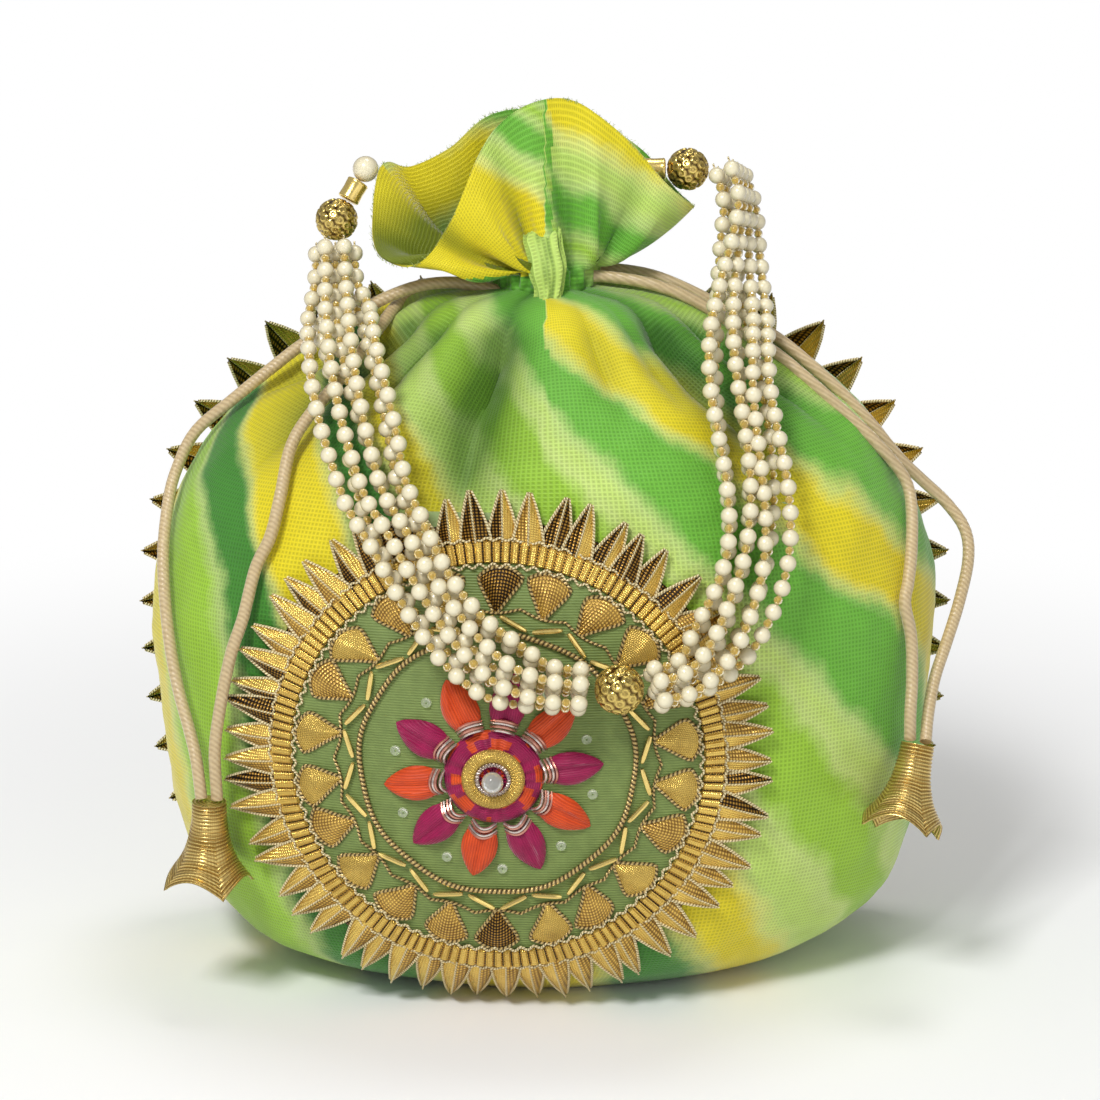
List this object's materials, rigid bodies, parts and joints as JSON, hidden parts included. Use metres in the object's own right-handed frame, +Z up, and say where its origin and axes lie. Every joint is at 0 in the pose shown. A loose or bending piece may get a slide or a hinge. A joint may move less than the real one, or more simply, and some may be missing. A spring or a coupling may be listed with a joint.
{
  "type": "potli bag",
  "caption": "Round drawstring pouch of striped sheer cloth with a gold ribbon medallion, a pearl strand handle and two cords with bell tassels.",
  "frame": {"origin": "middle of the flat oval base, on the surface that the bag stands on", "axes": "+X to the bag's right as its front is seen, +Y away from the front, +Z up"},
  "size_m": [0.2383, 0.1545, 0.253],
  "materials": {
    "cloth": "sheer checked cotton and silk weave in yellow and green wavy stripes",
    "lining": "plain matt cotton",
    "silk": "ribbed moss green silk",
    "gold_ribbon": "woven metallic ribbon, satin",
    "magenta_silk": "folded silk, soft sheen",
    "orange_silk": "folded ribbed silk, soft sheen",
    "satin_cord": "satin rat-tail cord",
    "pearl": "pearl lustre",
    "gold_metal": "polished antique gold",
    "glass_bead": "cloudy glass"
  },
  "bodies": {
    "bag": {"bag_front_panel": "cloth", "bag_back_panel": "cloth", "bag_base_panel": "cloth", "casing_front": "cloth", "casing_back": "cloth", "lining": "lining", "medallion_cloth": "silk", "petal_ring": "gold_ribbon", "ribbon_band": "gold_ribbon", "fan_petal_ring": "gold_ribbon", "bugle_bead_ring": "gold_metal", "twisted_cord_ring": "gold_metal", "flower_base": "magenta_silk", "wire_binding_ring": "gold_metal", "woven_gold_ring": "gold_ribbon", "centre_bead": "glass_bead", "rear_petal_ring": "gold_ribbon", "rear_ribbon_band": "gold_ribbon", "drawstring_left": "satin_cord", "drawstring_right": "satin_cord", "tassel_left": "gold_metal", "tassel_right": "gold_metal", "flower_petal_01": "magenta_silk", "flower_petal_02": "orange_silk", "flower_petal_03": "magenta_silk", "flower_petal_04": "orange_silk", "flower_petal_05": "magenta_silk", "flower_petal_06": "orange_silk", "flower_petal_07": "magenta_silk", "flower_petal_08": "orange_silk", "flower_petal_09": "magenta_silk", "flower_petal_10": "orange_silk"},
    "handle": {"pearl_strand_left_1": "pearl", "pearl_strand_left_2": "pearl", "pearl_strand_left_3": "pearl", "pearl_strand_left_4": "pearl", "pearl_strand_left_5": "pearl", "pearl_strand_left_6": "pearl", "pearl_strand_left_7": "pearl", "pearl_strand_right_1": "pearl", "pearl_strand_right_2": "pearl", "pearl_strand_right_3": "pearl", "pearl_strand_right_4": "pearl", "pearl_strand_right_5": "pearl", "pearl_strand_right_6": "pearl", "pearl_strand_right_7": "pearl", "end_pearl_left": "pearl", "end_cap_left": "gold_metal", "filigree_bead_left": "gold_metal", "end_pearl_right": "pearl", "end_cap_right": "gold_metal", "filigree_bead_right": "gold_metal", "filigree_bead_middle": "gold_metal"}
  },
  "joints": [
    {"name": "handle_swing", "type": "hinge", "parent": "bag", "child": "handle", "pos_m": [0, 0.001, 0.2316], "axis": [-1, 0, 0], "range_deg": [0, 240]}
  ]
}
